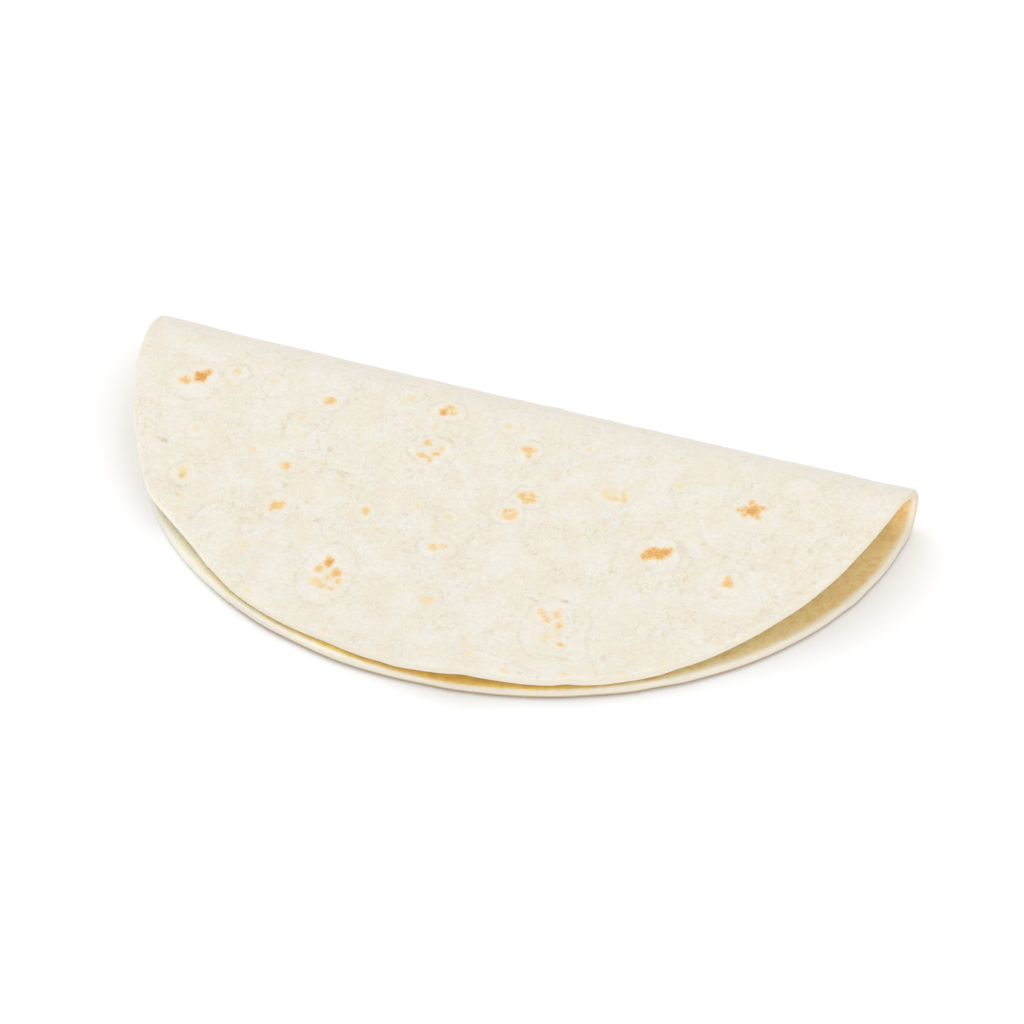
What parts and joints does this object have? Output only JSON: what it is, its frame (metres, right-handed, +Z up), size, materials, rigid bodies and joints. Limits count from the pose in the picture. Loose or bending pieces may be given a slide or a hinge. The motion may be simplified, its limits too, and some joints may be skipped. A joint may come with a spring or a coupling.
{
  "type": "folded flour tortilla wrap",
  "caption": "Soft pale flour tortilla folded in half, its springy fold at the back and its ends open, with toasted dabs and low blisters; rests flat on its lower half.",
  "frame": {"origin": "centre of the outline on the table it rests on", "axes": "+X along the fold from its left end to its right end, as seen from the front; -Y towards the curved open front; +Z up from the table"},
  "size_m": [0.2018, 0.0962, 0.0166],
  "materials": {
    "flatbread": "soft matt baked dough, cream white with toasted orange-tan dabs"
  },
  "bodies": {
    "root": {"tortilla": "flatbread"}
  },
  "joints": []
}
